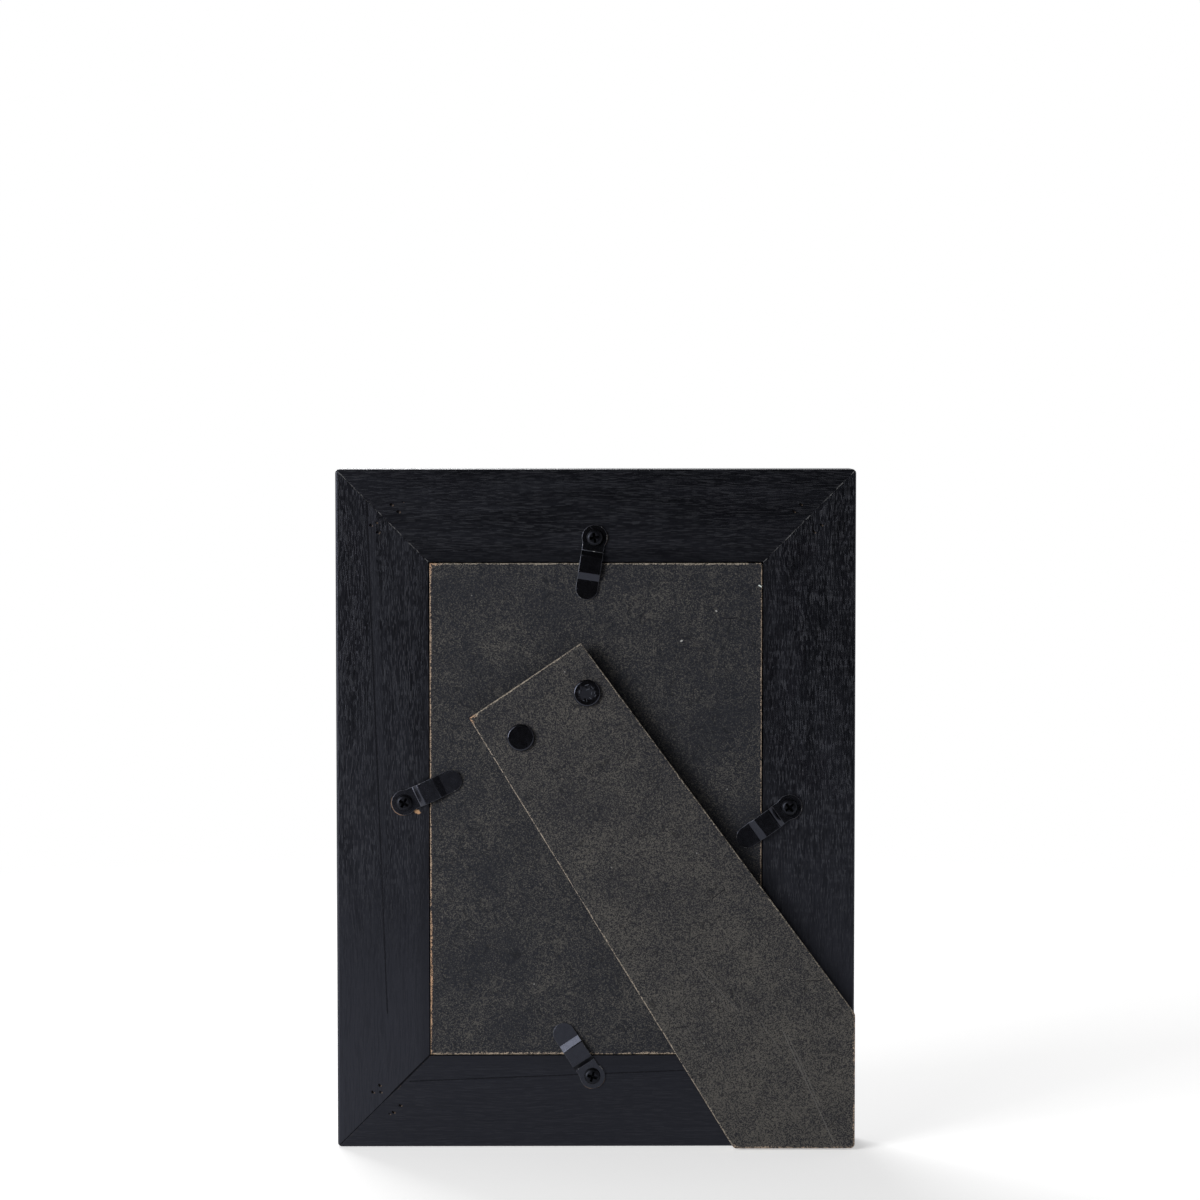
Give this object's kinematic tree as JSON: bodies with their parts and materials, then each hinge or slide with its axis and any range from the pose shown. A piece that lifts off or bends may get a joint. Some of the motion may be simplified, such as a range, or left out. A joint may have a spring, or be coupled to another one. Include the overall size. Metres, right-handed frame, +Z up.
{
  "type": "easel back photo frame",
  "caption": "Mitred wooden photo frame with a pane, a back panel held by turn buttons, and a slanted hinged easel leg that stands it upright or wide.",
  "frame": {"origin": "middle of the flat bottom face that the frame stands on", "axes": "+Z up, picture side faces -Y, back and easel leg face +Y"},
  "size_m": [0.16, 0.0225, 0.21],
  "materials": {
    "black_stained_wood": "black stain, low sheen, open grain",
    "panel_hardboard": "charcoal coated face, raw fibre edges",
    "leg_hardboard": "charcoal coated face with fibre specks, raw fibre edges",
    "black_enamel": "semi-gloss black enamel",
    "plain_steel": "plain steel",
    "clear_glass": "clear",
    "plain_card": "plain off-white card"
  },
  "bodies": {
    "frame": {"top_rail": "black_stained_wood", "bottom_rail": "black_stained_wood", "left_stile": "black_stained_wood", "right_stile": "black_stained_wood", "top_left_v_nails": "plain_steel", "top_right_v_nails": "plain_steel", "bottom_left_v_nails": "plain_steel", "bottom_right_v_nails": "plain_steel", "glass_pane": "clear_glass", "photo_insert": "plain_card", "back_panel": "panel_hardboard", "hinge_panel_leaf": "plain_steel", "hinge_pin": "plain_steel", "panel_rivets": "plain_steel", "top_button_screw": "black_enamel", "left_button_screw": "black_enamel", "right_button_screw": "black_enamel", "bottom_button_screw": "black_enamel"},
    "leg": {"easel_leg": "leg_hardboard", "hinge_leg_leaf": "plain_steel", "leg_rivets": "black_enamel"},
    "top_button": {"top_turn_button": "black_enamel"},
    "left_button": {"left_turn_button": "black_enamel"},
    "right_button": {"right_turn_button": "black_enamel"},
    "bottom_button": {"bottom_turn_button": "black_enamel"}
  },
  "joints": [
    {"name": "leg_hinge", "type": "hinge", "parent": "frame", "child": "leg", "pos_m": [0.01702, 0.00955, 0.14084], "axis": [0.83, 0, -0.5577], "range_deg": [0, 30]},
    {"name": "top_button_turn", "type": "hinge", "parent": "frame", "child": "top_button", "pos_m": [0.0004, 0.0075, 0.189], "axis": [0, 1, 0], "continuous": true},
    {"name": "left_button_turn", "type": "hinge", "parent": "frame", "child": "left_button", "pos_m": [0.0591, 0.0075, 0.1073], "axis": [0, 1, 0], "continuous": true},
    {"name": "right_button_turn", "type": "hinge", "parent": "frame", "child": "right_button", "pos_m": [-0.0597, 0.0075, 0.1058], "axis": [0, 1, 0], "continuous": true},
    {"name": "bottom_button_turn", "type": "hinge", "parent": "frame", "child": "bottom_button", "pos_m": [0.0011, 0.0075, 0.0222], "axis": [0, 1, 0], "continuous": true}
  ]
}
